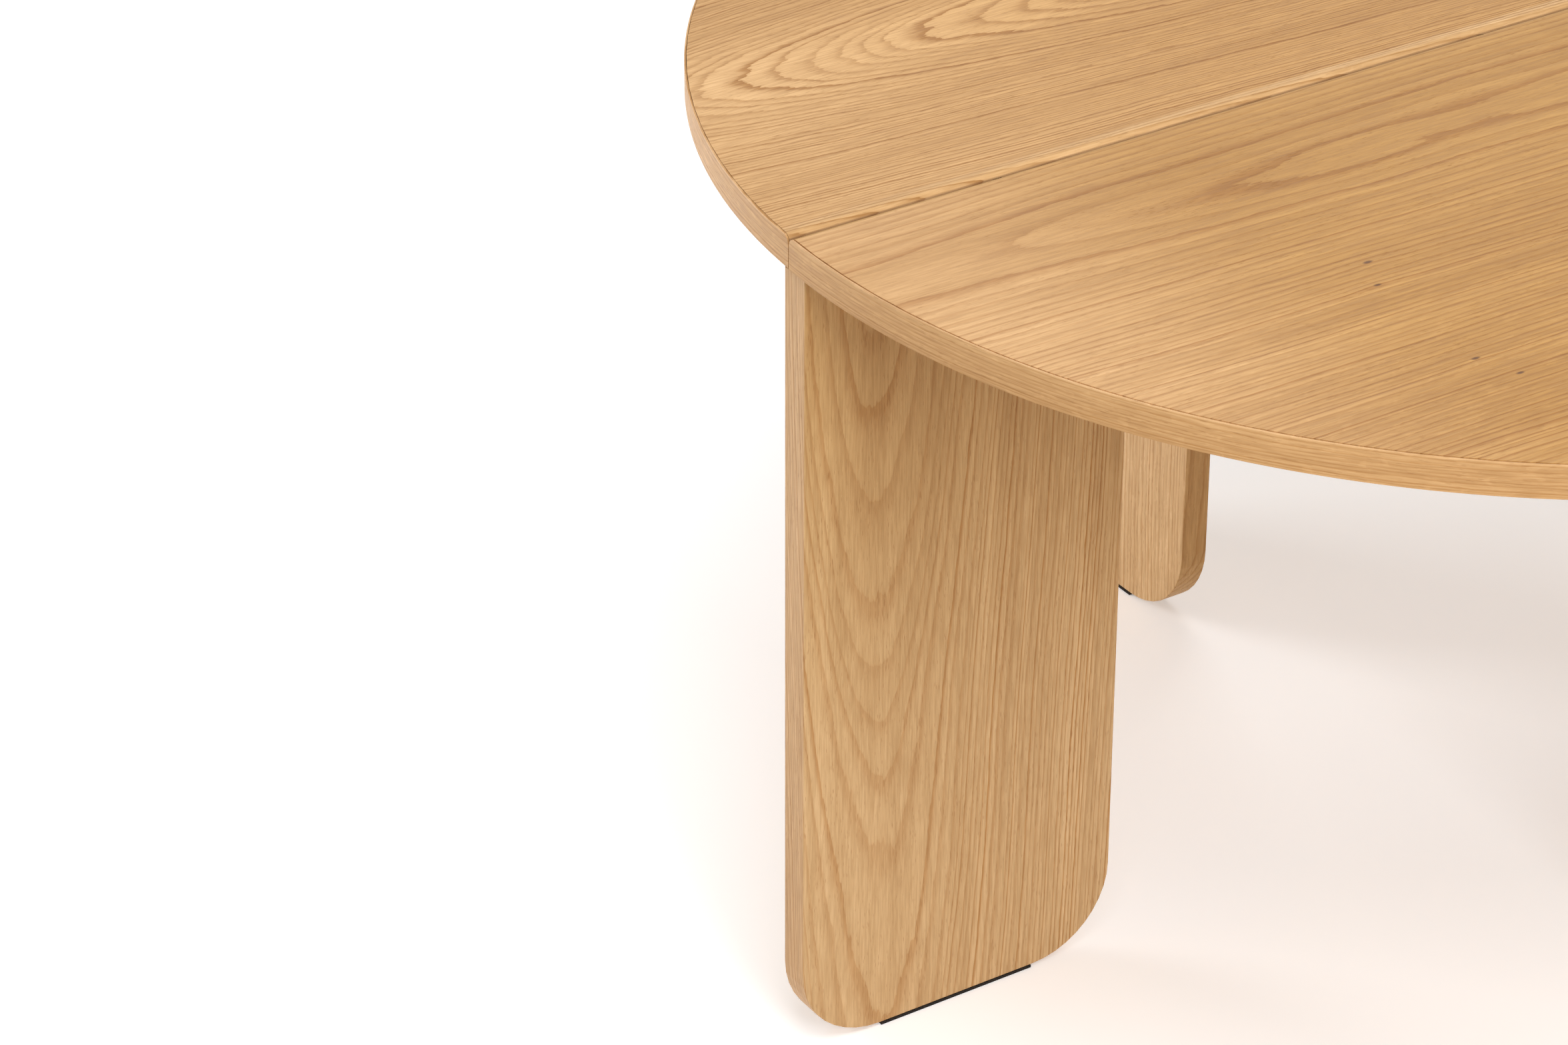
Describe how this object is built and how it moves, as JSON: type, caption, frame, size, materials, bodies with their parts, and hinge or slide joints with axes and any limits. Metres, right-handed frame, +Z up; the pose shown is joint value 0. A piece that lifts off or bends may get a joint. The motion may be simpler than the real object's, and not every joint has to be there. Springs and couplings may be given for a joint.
{
  "type": "gateleg table",
  "caption": "Round oak gateleg table: a fixed top, a leaf that folds up and over, and a wide plank leg on a swinging gate that carries the open leaf.",
  "frame": {"origin": "centre of the round top, on the floor", "axes": "+Z up, +X along the seam, +Y towards the folding leaf"},
  "size_m": [1.3498, 1.35, 0.75],
  "materials": {
    "beech_dowel": "sanded, unfinished",
    "bracket_steel": "zinc plated",
    "butt_hinge_steel": "zinc plated",
    "foot_pad": "matt",
    "hinge_steel": "zinc plated",
    "oak_back_rail": "clear matt lacquer on oak veneer",
    "oak_fixed_edge_band": "clear matt lacquer on oak veneer",
    "oak_fixed_top": "clear matt lacquer on oak veneer",
    "oak_folding_leaf": "clear matt lacquer on oak veneer",
    "oak_front_leg": "clear matt lacquer on oak veneer",
    "oak_front_rail": "clear matt lacquer on oak veneer",
    "oak_gate_leg": "clear matt lacquer on oak veneer",
    "oak_gate_rail": "clear matt lacquer on oak veneer",
    "oak_leaf_edge_band": "clear matt lacquer on oak veneer",
    "oak_left_leg": "clear matt lacquer on oak veneer",
    "oak_right_leg": "clear matt lacquer on oak veneer",
    "pin_steel": "zinc plated",
    "screw_steel": "zinc plated",
    "stop_block": "matt lacquer"
  },
  "bodies": {
    "frame": {"fixed_top": "oak_fixed_top", "fixed_edge_band": "oak_fixed_edge_band", "left_leg": "oak_left_leg", "right_leg": "oak_right_leg", "front_leg": "oak_front_leg", "left_pad": "foot_pad", "right_pad": "foot_pad", "front_pad": "foot_pad", "back_rail": "oak_back_rail", "front_rail": "oak_front_rail", "left_dowel_lower": "beech_dowel", "left_dowel_upper": "beech_dowel", "right_dowel_lower": "beech_dowel", "right_dowel_upper": "beech_dowel", "front_dowel_lower": "beech_dowel", "front_dowel_upper": "beech_dowel", "tee_dowel_lower": "beech_dowel", "tee_dowel_upper": "beech_dowel", "hinge_left_fixed_body": "hinge_steel", "hinge_left_fixed_pin": "pin_steel", "hinge_left_fixed_screw": "screw_steel", "hinge_middle_fixed_body": "hinge_steel", "hinge_middle_fixed_pin": "pin_steel", "hinge_middle_fixed_screw": "screw_steel", "hinge_right_fixed_body": "hinge_steel", "hinge_right_fixed_pin": "pin_steel", "hinge_right_fixed_screw": "screw_steel", "gate_hinge_lower_frame_wing": "butt_hinge_steel", "gate_hinge_upper_frame_wing": "butt_hinge_steel", "back_bracket_left": "bracket_steel", "back_bracket_right": "bracket_steel", "front_bracket_left": "bracket_steel", "front_bracket_right": "bracket_steel"},
    "links": {"hinge_left_link": "hinge_steel", "hinge_middle_link": "hinge_steel", "hinge_right_link": "hinge_steel"},
    "leaf": {"folding_leaf": "oak_folding_leaf", "leaf_edge_band": "oak_leaf_edge_band", "gate_stop": "stop_block", "hinge_left_leaf_body": "hinge_steel", "hinge_left_leaf_pin": "pin_steel", "hinge_left_leaf_screw": "screw_steel", "hinge_middle_leaf_body": "hinge_steel", "hinge_middle_leaf_pin": "pin_steel", "hinge_middle_leaf_screw": "screw_steel", "hinge_right_leaf_body": "hinge_steel", "hinge_right_leaf_pin": "pin_steel", "hinge_right_leaf_screw": "screw_steel"},
    "gate": {"gate_leg": "oak_gate_leg", "gate_pad": "foot_pad", "gate_rail": "oak_gate_rail", "gate_dowel_lower": "beech_dowel", "gate_dowel_upper": "beech_dowel", "gate_hinge_lower_gate_wing": "butt_hinge_steel", "gate_hinge_lower_pin": "pin_steel", "gate_hinge_upper_gate_wing": "butt_hinge_steel", "gate_hinge_upper_pin": "pin_steel"}
  },
  "joints": [
    {"name": "link_swing", "type": "hinge", "parent": "frame", "child": "links", "pos_m": [0, 0.0385, 0.742], "axis": [1, 0, 0], "range_deg": [0, 90]},
    {"name": "leaf_fold", "type": "hinge", "parent": "links", "child": "leaf", "pos_m": [0, 0.0555, 0.742], "axis": [1, 0, 0], "range_deg": [0, 90]},
    {"name": "gate_swing", "type": "hinge", "parent": "frame", "child": "gate", "pos_m": [-0.019, 0.0582, 0], "axis": [0, 0, 1], "range_deg": [0, 90]}
  ],
  "couplings": [
    {"joint": "leaf_fold", "follows": "link_swing", "ratio": 1}
  ]
}
